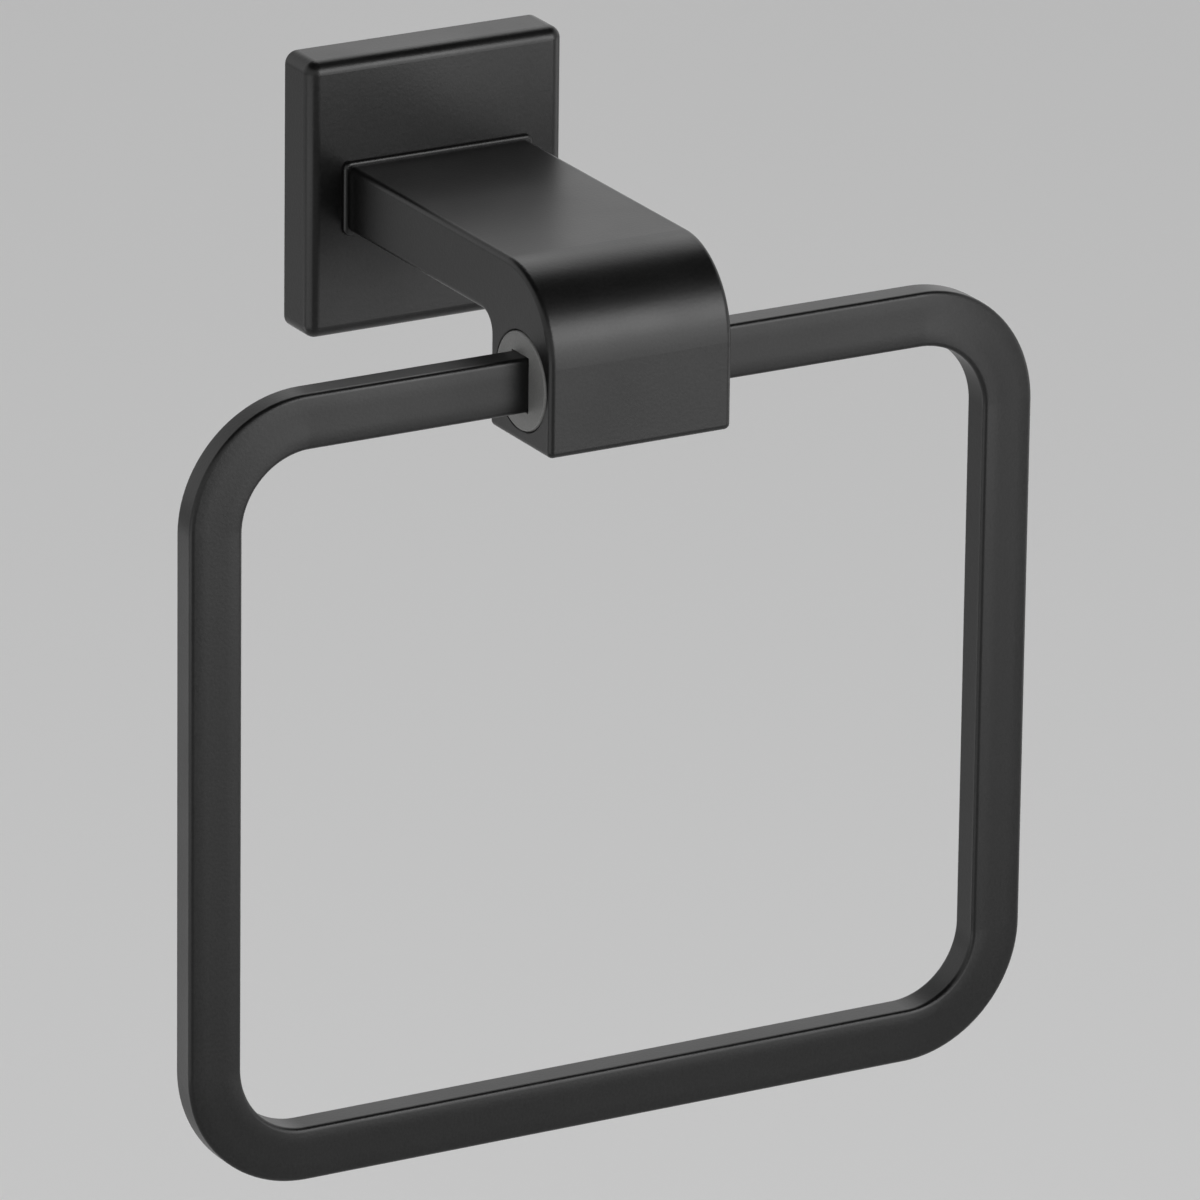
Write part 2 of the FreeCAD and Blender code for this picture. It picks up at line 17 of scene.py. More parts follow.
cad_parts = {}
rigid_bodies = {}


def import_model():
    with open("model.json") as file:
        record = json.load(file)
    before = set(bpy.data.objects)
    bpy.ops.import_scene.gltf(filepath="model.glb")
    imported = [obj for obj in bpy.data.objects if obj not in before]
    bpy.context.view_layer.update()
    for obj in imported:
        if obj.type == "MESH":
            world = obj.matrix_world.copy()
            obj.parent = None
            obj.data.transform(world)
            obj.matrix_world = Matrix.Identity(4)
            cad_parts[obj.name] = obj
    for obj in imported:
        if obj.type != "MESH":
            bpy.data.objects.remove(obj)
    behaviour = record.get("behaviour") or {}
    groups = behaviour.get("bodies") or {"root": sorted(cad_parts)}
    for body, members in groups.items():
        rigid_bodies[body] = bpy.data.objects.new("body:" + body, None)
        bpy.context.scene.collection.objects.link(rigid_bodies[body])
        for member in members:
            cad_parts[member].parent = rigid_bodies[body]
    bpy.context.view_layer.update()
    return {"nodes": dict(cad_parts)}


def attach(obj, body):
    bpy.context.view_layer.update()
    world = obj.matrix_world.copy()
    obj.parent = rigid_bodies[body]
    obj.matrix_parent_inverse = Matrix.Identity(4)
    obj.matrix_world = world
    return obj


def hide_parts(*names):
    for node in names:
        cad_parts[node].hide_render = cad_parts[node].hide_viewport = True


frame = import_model()

MM = 0.001
TOUCHING = 1e-6
PICTURE_PIXELS = 1200
SENSOR_WIDTH = 36.0
LOG = logging.getLogger("towel_ring")

Triple = tuple[float, float, float]


class Body(Enum):
    """The rigid bodies of the part."""

    POST = "post"
    RING = "ring"


class Slot(Enum):
    """The material slots of the record."""

    BLACK_PAINT = "black_paint"
    BUSH_PLASTIC = "bush_plastic"
    PLATED_STEEL = "plated_steel"


class Side(Enum):
    """The two ends of the swing axis, as the sign of X."""

    LEFT = -1
    RIGHT = 1


# Mesh helpers


def select_only(piece: bpy.types.Object) -> None:
    """Select one object and make it active, with everything else deselected.

    Args:
        piece: the object to select.
    """
    for other in bpy.context.view_layer.objects:
        other.select_set(False)
    piece.select_set(True)
    bpy.context.view_layer.objects.active = piece


def clear_selection(mesh: bpy.types.Mesh) -> None:
    """Deselect every vertex, edge and face."""
    for part in (mesh.vertices, mesh.edges, mesh.polygons):
        part.foreach_set("select", [False] * len(part))


def pick_points(piece: bpy.types.Object, wanted: Callable[[Vector], bool]) -> None:
    """Select the vertices that pass a test, from object mode.

    Args:
        piece: the object whose vertices are selected.
        wanted: a test on a vertex's place.
    """
    mesh = piece.data
    bpy.context.tool_settings.mesh_select_mode = (True, False, False)
    clear_selection(mesh)
    for vertex in mesh.vertices:
        vertex.select = wanted(vertex.co)


def pick_edges(piece: bpy.types.Object, wanted: Callable[[Vector, Vector], bool]) -> None:
    """Select the edges whose two ends pass a test, from object mode.

    Args:
        piece: the object whose edges are selected.
        wanted: a test on the places of an edge's two ends.
    """
    mesh = piece.data
    bpy.context.tool_settings.mesh_select_mode = (False, True, False)
    clear_selection(mesh)
    for edge in mesh.edges:
        first, last = (mesh.vertices[i] for i in edge.vertices)
        if wanted(first.co, last.co):
            edge.select = first.select = last.select = True


def turned(outline: Sequence[tuple[float, float]], sides: int) -> bpy.types.Object:
    """Model a turned solid, upright on the Z axis and drawn up ring by ring.

    Args:
        outline: radius and depth below the origin of each ring, from the lowest up.
        sides: how many flats a ring has.

    Returns:
        The closed solid.
    """
    radius, depth = outline[0]
    bpy.ops.mesh.primitive_circle_add(
        vertices=sides, radius=radius, fill_type="NGON", location=(0, 0, -depth))
    solid = bpy.context.object
    select_only(solid)
    bpy.ops.object.transform_apply(location=True, rotation=True, scale=True)
    bpy.context.tool_settings.mesh_select_mode = (False, False, True)
    bpy.ops.object.mode_set(mode="EDIT")
    bpy.ops.mesh.select_all(action="SELECT")
    for wider, higher in outline[1:]:
        bpy.ops.mesh.extrude_region_move(
            TRANSFORM_OT_translate={"value": (0, 0, depth - higher)})
        bpy.ops.transform.resize(
            value=(wider / radius, wider / radius, 1), center_override=(0, 0, -higher))
        radius, depth = wider, higher
    bpy.ops.mesh.select_all(action="SELECT")
    bpy.ops.mesh.normals_make_consistent(inside=False)
    bpy.ops.object.mode_set(mode="OBJECT")
    return solid


def cut_away(piece: bpy.types.Object, cutter: bpy.types.Object) -> None:
    """Cut one solid out of another and throw the cutter away.

    Args:
        piece: the solid that is cut.
        cutter: the solid that is taken out of it.
    """
    select_only(piece)
    cut = piece.modifiers.new("cut", "BOOLEAN")
    cut.operation = "DIFFERENCE"
    cut.solver = "EXACT"
    cut.object = cutter
    bpy.ops.object.modifier_apply(modifier=cut.name)
    bpy.data.objects.remove(cutter)


def settle(piece: bpy.types.Object, name: str, angle: float = 30.0) -> bpy.types.Object:
    """Put a piece's place into its mesh, turn its faces outwards and shade it.

    Args:
        piece: the piece, in object mode.
        name: the name that it gets.
        angle: edges sharper than this many degrees stay sharp.

    Returns:
        The same piece.
    """
    select_only(piece)
    piece.name = name
    piece.data.name = name
    bpy.ops.object.transform_apply(location=True, rotation=True, scale=True)
    bpy.ops.object.mode_set(mode="EDIT")
    bpy.ops.mesh.select_all(action="SELECT")
    bpy.ops.mesh.remove_doubles(threshold=TOUCHING)
    bpy.ops.mesh.normals_make_consistent(inside=False)
    bpy.ops.object.mode_set(mode="OBJECT")
    bpy.ops.object.shade_smooth_by_angle(angle=math.radians(angle))
    weighted = piece.modifiers.new("flats_stay_flat", "WEIGHTED_NORMAL")
    weighted.mode = "FACE_AREA"
    weighted.keep_sharp = True
    bpy.ops.object.modifier_apply(modifier=weighted.name)
    return piece


# Materials

FINE_DETAIL = 3.0
FINE_ROUGHNESS = 0.55
BROAD_SCALE = 45.0
BROAD_DETAIL = 2.0
NOISE_LOW, NOISE_HIGH = 0.3, 0.7
GRAIN_HEIGHT = 0.02 * MM


def grain_group() -> bpy.types.ShaderNodeTree:
    """Build the fine grain of a sprayed or moulded surface, as a height and a mask.

    Returns:
        A node group with a Scale input and Height and Mask outputs.
    """
    tree = bpy.data.node_groups.new("fine_grain", "ShaderNodeTree")
    tree.interface.new_socket("Scale", in_out="INPUT", socket_type="NodeSocketFloat")
    tree.interface.new_socket("Height", in_out="OUTPUT", socket_type="NodeSocketFloat")
    tree.interface.new_socket("Mask", in_out="OUTPUT", socket_type="NodeSocketFloat")
    nodes, links = tree.nodes, tree.links
    inlet = nodes.new("NodeGroupInput")
    outlet = nodes.new("NodeGroupOutput")
    place = nodes.new("ShaderNodeTexCoord")
    fine = nodes.new("ShaderNodeTexNoise")
    fine.inputs["Detail"].default_value = FINE_DETAIL
    fine.inputs["Roughness"].default_value = FINE_ROUGHNESS
    broad = nodes.new("ShaderNodeTexNoise")
    broad.inputs["Scale"].default_value = BROAD_SCALE
    broad.inputs["Detail"].default_value = BROAD_DETAIL
    links.new(place.outputs["Object"], fine.inputs["Vector"])
    links.new(place.outputs["Object"], broad.inputs["Vector"])
    links.new(inlet.outputs["Scale"], fine.inputs["Scale"])
    links.new(fine.outputs["Fac"], outlet.inputs["Height"])
    links.new(broad.outputs["Fac"], outlet.inputs["Mask"])
    return tree


@dataclass(frozen=True)
class Finish:
    """A surface finish: a base colour that varies a little, and a fine grain.

    Attributes:
        name: the material's name.
        dark: the base colour at its darkest, linear.
        pale: the base colour at its palest, linear.
        metallic: 1 for bare metal and 0 for paint and plastic.
        roughness: the lowest and highest roughness.
        ior: index of refraction of the top layer.
        grain_scale: how fine the grain is, in cycles per metre.
        grain_depth: how strongly the grain bends the surface.
    """

    name: str
    dark: Triple
    pale: Triple
    metallic: float
    roughness: tuple[float, float]
    ior: float
    grain_scale: float
    grain_depth: float

    def material(self, grain: bpy.types.ShaderNodeTree) -> bpy.types.Material:
        """Build the finish as a material.

        Args:
            grain: the shared grain group.

        Returns:
            The new material.
        """
        material = bpy.data.materials.new(self.name)
        material.use_nodes = True
        nodes, links = material.node_tree.nodes, material.node_tree.links
        shader = nodes["Principled BSDF"]
        shader.inputs["Metallic"].default_value = self.metallic
        shader.inputs["IOR"].default_value = self.ior
        texture = nodes.new("ShaderNodeGroup")
        texture.node_tree = grain
        texture.inputs["Scale"].default_value = self.grain_scale
        tint = nodes.new("ShaderNodeValToRGB")
        tint.color_ramp.elements[0].position = NOISE_LOW
        tint.color_ramp.elements[0].color = (*self.dark, 1.0)
        tint.color_ramp.elements[1].position = NOISE_HIGH
        tint.color_ramp.elements[1].color = (*self.pale, 1.0)
        links.new(texture.outputs["Height"], tint.inputs["Fac"])
        links.new(tint.outputs["Color"], shader.inputs["Base Color"])
        gloss = nodes.new("ShaderNodeMapRange")
        gloss.inputs["From Min"].default_value = NOISE_LOW
        gloss.inputs["From Max"].default_value = NOISE_HIGH
        gloss.inputs["To Min"].default_value = self.roughness[0]
        gloss.inputs["To Max"].default_value = self.roughness[1]
        links.new(texture.outputs["Mask"], gloss.inputs["Value"])
        links.new(gloss.outputs["Result"], shader.inputs["Roughness"])
        bump = nodes.new("ShaderNodeBump")
        bump.inputs["Strength"].default_value = self.grain_depth
        bump.inputs["Distance"].default_value = GRAIN_HEIGHT
        links.new(texture.outputs["Height"], bump.inputs["Height"])
        links.new(bump.outputs["Normal"], shader.inputs["Normal"])
        return material


FINISHES = {
    Slot.BLACK_PAINT: Finish(
        "satin_black_coat", dark=(0.0005, 0.0005, 0.0005), pale=(0.0045, 0.0045, 0.0045),
        metallic=0.0, roughness=(0.3, 0.37), ior=1.4, grain_scale=1800.0, grain_depth=1.0),
    Slot.BUSH_PLASTIC: Finish(
        "moulded_grey_plastic", dark=(0.12, 0.12, 0.117), pale=(0.16, 0.16, 0.156),
        metallic=0.0, roughness=(0.42, 0.5), ior=1.46, grain_scale=3500.0, grain_depth=0.2),
    Slot.PLATED_STEEL: Finish(
        "zinc_plated_steel", dark=(0.5, 0.5, 0.48), pale=(0.63, 0.64, 0.65),
        metallic=1.0, roughness=(0.28, 0.4), ior=1.5, grain_scale=1800.0, grain_depth=0.3),
}


@dataclass
class Paintbox:
    """The finishes in use, one material for each slot of the record."""

    materials: dict[Slot, bpy.types.Material]

    @classmethod
    def mixed(cls) -> "Paintbox":
        """Build every finish once, all with the one shared grain."""
        grain = grain_group()
        return cls({slot: finish.material(grain) for slot, finish in FINISHES.items()})

    def coat(self, piece: bpy.types.Object, slot: Slot) -> None:
        """Give a piece the material of a slot."""
        piece.data.materials.clear()
        piece.data.materials.append(self.materials[slot])

    def coat_node(self, node: str, slot: Slot) -> None:
        """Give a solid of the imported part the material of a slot."""
        for holder in frame["nodes"][node].material_slots:
            holder.material = self.materials[slot]


# Pieces

PIVOT = (0.0, -73.1 * MM, -14.8 * MM)


@dataclass
class RingBar:
    """The ring: a flat bar with rounded edges, bent round so that its ends meet in the head.

    Attributes:
        width: outside width of the ring.
        height: outside height of the ring.
        bar_height: the bar's size in the plane of the ring.
        bar_thickness: the bar's size from front to back.
        edge: radius of the bar's long edges.
        edge_steps: segments of that rounding.
        bend: radius of the bar's middle line at a bend.
        bend_steps: segments of a bend.
        split: gap between the bar's two ends.
        crown_keep: thickness kept at the broad faces' outer edges.
        crown_reach: how far in from the edges the crown begins.
        face_cuts: cuts across a broad face, which carry the crown.
        inner_gain: thickness factor at the inner side of a bend.
        outer_keep: thickness factor at the outer side of a bend.
        bend_leads: what each pass of draw_bend leaves out at a bend's ends, the widest first.
        pivot: the middle of the swing axis.
    """

    width: float = 167.0 * MM
    height: float = 144.5 * MM
    bar_height: float = 10.0 * MM
    bar_thickness: float = 6.0 * MM
    edge: float = 0.9 * MM
    edge_steps: int = 6
    bend: float = 18.0 * MM
    bend_steps: int = 28
    split: float = 0.8 * MM
    crown_keep: float = 0.957
    crown_reach: float = 2.3 * MM
    face_cuts: int = 15
    inner_gain: float = 1.14
    outer_keep: float = 0.86
    bend_leads: tuple[float, ...] = (0.6, 0.45, 0.3, 0.15, 0.02)
    pivot: Triple = PIVOT

    def build(self) -> bpy.types.Object:
        """Model the bar: draw its section, then run it along the straights and round the bends.

        Returns:
            The finished bar.
        """
        bar = self.draw_section()
        half = self.width / 2 - self.bar_height / 2
        top = self.pivot[2]
        bottom = top + self.bar_height - self.height
        bpy.ops.object.mode_set(mode="EDIT")
        bpy.ops.mesh.select_all(action="SELECT")
        bends = (
            (Vector((half - self.bend, 0, 0)), Vector((half - self.bend, 0, top - self.bend))),
            (Vector((0, 0, bottom + self.bend)), Vector((half - self.bend, 0, bottom + self.bend))),
            (Vector((self.bend - half, 0, 0)), Vector((self.bend - half, 0, bottom + self.bend))),
            (Vector((0, 0, top - self.bend)), Vector((self.bend - half, 0, top - self.bend))),
        )
        place = Vector((self.split / 2, 0, top))
        for index, (target, centre) in enumerate(bends):
            across = index % 2 == 0
            run = Vector((target.x - place.x, 0, 0) if across else (0, 0, target.z - place.z))
            self.extend(run)
            place += run
            pin = Vector((centre.x, self.pivot[1], centre.z))
            bpy.ops.mesh.spin(
                steps=self.bend_steps, angle=-math.pi / 2, center=pin, axis=(0, 1, 0))
            arm = place - Vector((centre.x, 0, centre.z))
            place = Vector((centre.x, 0, centre.z)) + Matrix.Rotation(math.pi / 2, 3, "Y") @ arm
        self.extend(Vector((-self.split / 2 - place.x, 0, 0)))
        self.cap_ends()
        bpy.ops.object.mode_set(mode="OBJECT")
        for _, centre in bends:
            self.draw_bend(bar, centre)
        return settle(bar, "bent_bar")

    def draw_section(self) -> bpy.types.Object:
        """Draw the bar's outline at one of its ends, with rounded edges and crowned faces.

        Returns:
            The outline, in object mode.
        """
        start = Vector((self.split / 2, self.pivot[1], self.pivot[2]))
        bpy.ops.mesh.primitive_plane_add(size=1.0, location=start, rotation=(0, math.pi / 2, 0))
        bar = bpy.context.object
        bar.scale = (self.bar_height, self.bar_thickness, 1.0)
        select_only(bar)
        bpy.ops.object.transform_apply(location=True, rotation=True, scale=True)
        bpy.context.tool_settings.mesh_select_mode = (True, False, False)
        bpy.ops.object.mode_set(mode="EDIT")
        bpy.ops.mesh.select_all(action="SELECT")
        bpy.ops.mesh.bevel(
            offset=self.edge, segments=self.edge_steps, affect="VERTICES", profile=0.5)
        bpy.ops.mesh.delete(type="ONLY_FACE")
        bpy.ops.object.mode_set(mode="OBJECT")
        flat = self.bar_height - 2 * self.edge
        pick_edges(bar, lambda a, b: abs(a.z - b.z) > flat - self.edge)
        bpy.ops.object.mode_set(mode="EDIT")
        bpy.ops.mesh.subdivide(number_cuts=self.face_cuts)
        bpy.ops.object.mode_set(mode="OBJECT")
        self.crown_faces(bar)
        return bar

    def crown_faces(self, bar: bpy.types.Object) -> None:
        """Let the section's two broad faces fall away a little towards their edges.

        Args:
            bar: the section, in object mode.
        """
        middle = self.pivot[2]
        flat = self.bar_height / 2 - self.edge
        margin = self.edge / 100
        pick_points(bar, lambda spot: abs(spot.z - middle) > flat - margin)
        self.scale_thickness(self.crown_keep, "SHARP", self.crown_reach)

    def draw_bend(self, bar: bpy.types.Object, centre: Vector) -> None:
        """Thin the outer side of a bend and thicken its inner side, as bending does.

        Each pass reaches further along the bend than the one before, so that the change fades out.

        Args:
            bar: the bent bar, in object mode.
            centre: the middle of the bend.
        """
        half = self.bar_height / 2
        sides = (self.bend - half, self.inner_gain), (self.bend + half, self.outer_keep)
        passes = len(self.bend_leads)
        for lead in self.bend_leads:
            for radius, factor in sides:
                self.pick_bend_edge(bar, centre, radius, lead)
                self.scale_thickness(factor ** (1 / passes), "LINEAR", self.bar_height)

    def scale_thickness(self, factor: float, falloff: str, reach: float) -> None:
        """Scale the thickness at the selected vertices, and less and less further away.

        Args:
            factor: the scale at the selected vertices.
            falloff: the falloff of Blender's proportional editing.
            reach: how far the scaling reaches.
        """
        bpy.ops.object.mode_set(mode="EDIT")
        bpy.ops.transform.resize(
            value=(1, factor, 1), center_override=(0, self.pivot[1], 0),
            use_proportional_edit=True, proportional_edit_falloff=falloff, proportional_size=reach)
        bpy.ops.object.mode_set(mode="OBJECT")

    def pick_bend_edge(
            self, bar: bpy.types.Object, centre: Vector, radius: float, lead: float) -> None:
        """Select the bar's edge at one radius of a bend, away from the bend's two ends.

        Args:
            bar: the bent bar, in object mode.
            centre: the middle of the bend.
            radius: the edge's distance from that middle.
            lead: how much is left out at the bend's ends, as the sine of an angle.
        """
        middle = self.pivot[2] + self.bar_height / 2 - self.height / 2

        def on_edge(spot: Vector) -> bool:
            """Tell whether a vertex lies on that edge."""
            out = Vector((spot.x - centre.x, 0, spot.z - centre.z))
            in_bend = out.x * centre.x > 0 and out.z * (centre.z - middle) > 0
            clear = min(abs(out.x), abs(out.z)) > lead * out.length
            return in_bend and clear and abs(out.length - radius) < self.edge / 2

        pick_points(bar, on_edge)

    def extend(self, run: Vector) -> None:
        """Run the selected section on along a straight."""
        bpy.ops.mesh.extrude_edges_move(TRANSFORM_OT_translate={"value": run})

    def cap_ends(self) -> None:
        """Close the two cut ends of the bar, which face each other inside the head."""
        bpy.ops.mesh.select_all(action="DESELECT")
        bpy.ops.mesh.select_non_manifold()
        bpy.ops.mesh.fill_holes(sides=0)


@dataclass
class Bush:
    """A round plastic bush that turns in the head, with a square-cornered slot for the bar.

    Attributes:
        side: which end of the axis it sits at.
        arm_half: half the arm's width.
        proud: how far it stands out of the arm's side.
        depth: its length along the axis.
        diameter: its outer diameter.
        flats: how many flats stand for its round.
        rim: radius of the rounding of its outer rim.
        rim_steps: segments of that rounding.
        slot_height: the slot's long side.
        slot_thickness: the slot's short side.
        pivot: the middle of the swing axis.
    """

    side: Side
    arm_half: float = 18.0 * MM
    proud: float = 0.2 * MM
    depth: float = 9.9 * MM
    diameter: float = 17.7 * MM
    flats: int = 128
    rim: float = 0.45 * MM
    rim_steps: int = 5
    slot_height: float = 10.1 * MM
    slot_thickness: float = 6.1 * MM
    pivot: Triple = PIVOT

    def build(self) -> bpy.types.Object:
        """Model the bush from a round blank with a rounded rim and cut its slot.

        Returns:
            The finished bush.
        """
        sign = self.side.value
        outer = self.arm_half + self.proud
        middle = sign * (outer - self.depth / 2)
        spot = (middle, self.pivot[1], self.pivot[2])
        bpy.ops.mesh.primitive_cylinder_add(
            vertices=self.flats, radius=self.diameter / 2, depth=self.depth,
            location=spot, rotation=(0, math.pi / 2, 0))
        bush = bpy.context.object
        select_only(bush)
        bpy.ops.object.transform_apply(location=True, rotation=True, scale=True)
        face = sign * outer
        pick_edges(bush, lambda a, b: abs(a.x - face) < TOUCHING and abs(b.x - face) < TOUCHING)
        bpy.ops.object.mode_set(mode="EDIT")
        bpy.ops.mesh.bevel(
            offset=self.rim, segments=self.rim_steps, affect="EDGES", profile=0.5)
        bpy.ops.object.mode_set(mode="OBJECT")
        self.cut_slot(bush, Vector(spot))
        return settle(bush, f"bush_{self.side.name.lower()}_turned", angle=35.0)

    def cut_slot(self, bush: bpy.types.Object, spot: Vector) -> None:
        """Cut the slot that the bar passes through.

        Args:
            bush: the round blank.
            spot: the middle of the blank.
        """
        bpy.ops.mesh.primitive_cube_add(size=1.0, location=spot)
        cutter = bpy.context.object
        cutter.scale = (2 * self.depth, self.slot_thickness, self.slot_height)
        cut_away(bush, cutter)


@dataclass
class SocketScrew:
    """A screw with a hex socket and a rolled thread.

    It is modelled with its socket end up at the origin, and then turned and moved to its place.

    Attributes:
        name: the finished piece's name.
        place: the middle of the socket end.
        turn: degrees about X from upright to its place.
        outline: radius and depth below the socket end, from the tip up.
        key: the hex key's size across its flats.
        key_depth: depth of the socket.
        thread: where the thread begins and ends, as depths below the socket end.
        size: outer diameter of the thread.
        pitch: from one thread to the next.
        ridge: distance from a ridge's centre line to its crest.
        sides: how many flats stand for its round.
    """

    name: str
    place: Triple
    turn: float
    outline: tuple[tuple[float, float], ...]
    key: float
    key_depth: float
    thread: tuple[float, float]
    size: float = 3.96 * MM
    pitch: float = 0.7 * MM
    ridge: float = 0.4 * MM
    sides: int = 48

    def build(self) -> bpy.types.Object:
        """Turn the blank, press its socket, roll its thread and put it in its place.

        Returns:
            The finished screw.
        """
        blank = turned(self.outline, self.sides)
        self.press_socket(blank)
        thread = self.roll_thread()
        select_only(blank)
        thread.select_set(True)
        bpy.ops.object.join()
        blank.rotation_euler = (math.radians(self.turn), 0, 0)
        blank.location = self.place
        return settle(blank, self.name)

    def press_socket(self, blank: bpy.types.Object) -> None:
        """Press the hex socket into the end.

        Args:
            blank: the turned screw, upright.
        """
        corner = self.key / math.sqrt(3)
        bpy.ops.mesh.primitive_cylinder_add(vertices=6, radius=corner, depth=2 * self.key_depth)
        cut_away(blank, bpy.context.object)

    def roll_thread(self) -> bpy.types.Object:
        """Wind the thread's ridge, a three-cornered bar, round the body.

        Returns:
            The closed ridge.
        """
        first, last = self.thread
        spot = (self.size / 2 - self.ridge, 0, -last)
        bpy.ops.mesh.primitive_circle_add(
            vertices=3, radius=self.ridge, location=spot, rotation=(math.pi / 2, math.pi / 2, 0))
        thread = bpy.context.object
        select_only(thread)
        bpy.ops.object.transform_apply(location=True, rotation=True, scale=True)
        winding = thread.modifiers.new("thread", "SCREW")
        winding.axis = "Z"
        winding.angle = 2 * math.pi
        winding.screw_offset = self.pitch
        winding.iterations = int((last - first) / self.pitch)
        winding.steps = winding.render_steps = self.sides
        bpy.ops.object.modifier_apply(modifier=winding.name)
        bpy.context.tool_settings.mesh_select_mode = (True, False, False)
        bpy.ops.object.mode_set(mode="EDIT")
        bpy.ops.mesh.select_all(action="DESELECT")
        bpy.ops.mesh.select_non_manifold()
        bpy.ops.mesh.fill_holes(sides=0)
        bpy.ops.object.mode_set(mode="OBJECT")
        return thread


@dataclass
class WallBracket:
    """The bracket behind the cover plate: a stamped block with eased edges and two wall holes.

    Attributes:
        width: its size across.
        height: its size from top to bottom, at the front.
        depth: its size from the wall outwards.
        undercut: how far the top and bottom run back under.
        corner: radius of the corners, seen from the front.
        corner_steps: segments of a corner.
        ease: radius of the edges round the front and the back.
        ease_steps: segments of an eased edge.
        hole: diameter of a wall hole.
        sink: diameter of its sunk mouth.
        spacing: distance between the two wall holes.
        flats: how many flats stand for a hole's round.
    """

    width: float = 32.0 * MM
    height: float = 38.0 * MM
    depth: float = 5.0 * MM
    undercut: float = 2.0 * MM
    corner: float = 3.0 * MM
    corner_steps: int = 10
    ease: float = 0.35 * MM
    ease_steps: int = 3
    hole: float = 4.6 * MM
    sink: float = 9.0 * MM
    spacing: float = 22.0 * MM
    flats: int = 64

    def build(self) -> bpy.types.Object:
        """Shape the block, round its corners, ease its edges and drill it.

        Returns:
            The finished bracket.
        """
        bpy.ops.mesh.primitive_cube_add(size=1.0, location=(0, -self.depth / 2, 0))
        block = bpy.context.object
        block.scale = (self.width, self.depth, self.height)
        select_only(block)
        bpy.ops.object.transform_apply(location=True, rotation=True, scale=True)
        self.taper(block)
        self.round_corners(block)
        self.ease_edges(block)
        for level in (-self.spacing / 2, self.spacing / 2):
            self.drill(block, level)
        return settle(block, "bracket_stamped")

    def taper(self, block: bpy.types.Object) -> None:
        """Run the top and bottom back under towards the wall.

        Args:
            block: the block, in object mode.
        """
        pick_points(block, lambda spot: spot.y > -TOUCHING)
        bpy.ops.object.mode_set(mode="EDIT")
        shrink = 1 - 2 * self.undercut / self.height
        bpy.ops.transform.resize(value=(1, 1, shrink), center_override=(0, 0, 0))
        bpy.ops.object.mode_set(mode="OBJECT")

    def round_corners(self, block: bpy.types.Object) -> None:
        """Round the four corners, seen from the front.

        Args:
            block: the block, in object mode.
        """
        pick_edges(block, lambda a, b: abs(a.y - b.y) > self.depth / 2)
        self.round_off(self.corner, self.corner_steps)

    def ease_edges(self, block: bpy.types.Object) -> None:
        """Ease the edges all round the front and the back.

        Args:
            block: the block, in object mode.
        """
        pick_edges(block, lambda a, b: abs(a.y - b.y) < self.depth / 2)
        self.round_off(self.ease, self.ease_steps)

    def round_off(self, radius: float, steps: int) -> None:
        """Round the selected edges.

        Args:
            radius: size of the rounding.
            steps: its segments.
        """
        bpy.ops.object.mode_set(mode="EDIT")
        bpy.ops.mesh.bevel(offset=radius, segments=steps, affect="EDGES", profile=0.5)
        bpy.ops.object.mode_set(mode="OBJECT")

    def drill(self, block: bpy.types.Object, level: float) -> None:
        """Drill one wall hole and sink its mouth for a screw head.

        Args:
            block: the block, in object mode.
            level: the hole's height.
        """
        past = self.depth
        narrow, wide = self.hole / 2, self.sink / 2 + past
        shoulder = self.sink / 2 - narrow - self.depth
        outline = (narrow, past), (narrow, shoulder), (wide, -self.depth - past)
        bit = turned(outline, self.flats)
        bit.rotation_euler = (math.pi / 2, 0, 0)
        bit.location = (0, 0, level)
        cut_away(block, bit)


ARM_SCREW_OFFSET = 10.0 * MM
ARM_SCREW_SEAT = -6.2 * MM
ARM_SCREW_OUTLINE = (
    (1.3 * MM, 10.0 * MM), (1.6 * MM, 9.7 * MM), (1.6 * MM, 2.4 * MM),
    (3.8 * MM, 0.2 * MM), (3.8 * MM, 0.0))
GRUB_PLACE = (0.0, -2.6 * MM, -24.54 * MM)
GRUB_OUTLINE = (
    (1.2 * MM, 6.0 * MM), (1.6 * MM, 5.6 * MM), (1.6 * MM, 0.15 * MM), (1.45 * MM, 0.0))


def screws() -> dict[str, SocketScrew]:
    """List the three screws.

    Returns:
        Each screw by the name of the solid that it stands for.
    """
    found = {}
    for side in Side:
        node = f"arm_screw_{side.name.lower()}"
        found[node] = SocketScrew(
            f"{node}_threaded", place=(side.value * ARM_SCREW_OFFSET, ARM_SCREW_SEAT, 0.0),
            turn=-90.0, outline=ARM_SCREW_OUTLINE, key=2.5 * MM, key_depth=1.6 * MM,
            thread=(2.9 * MM, 9.4 * MM))
    found["grub_screw"] = SocketScrew(
        "grub_screw_threaded", place=GRUB_PLACE, turn=180.0, outline=GRUB_OUTLINE,
        key=2.0 * MM, key_depth=2.4 * MM, thread=(0.4 * MM, 5.4 * MM))
    return found


# Studio


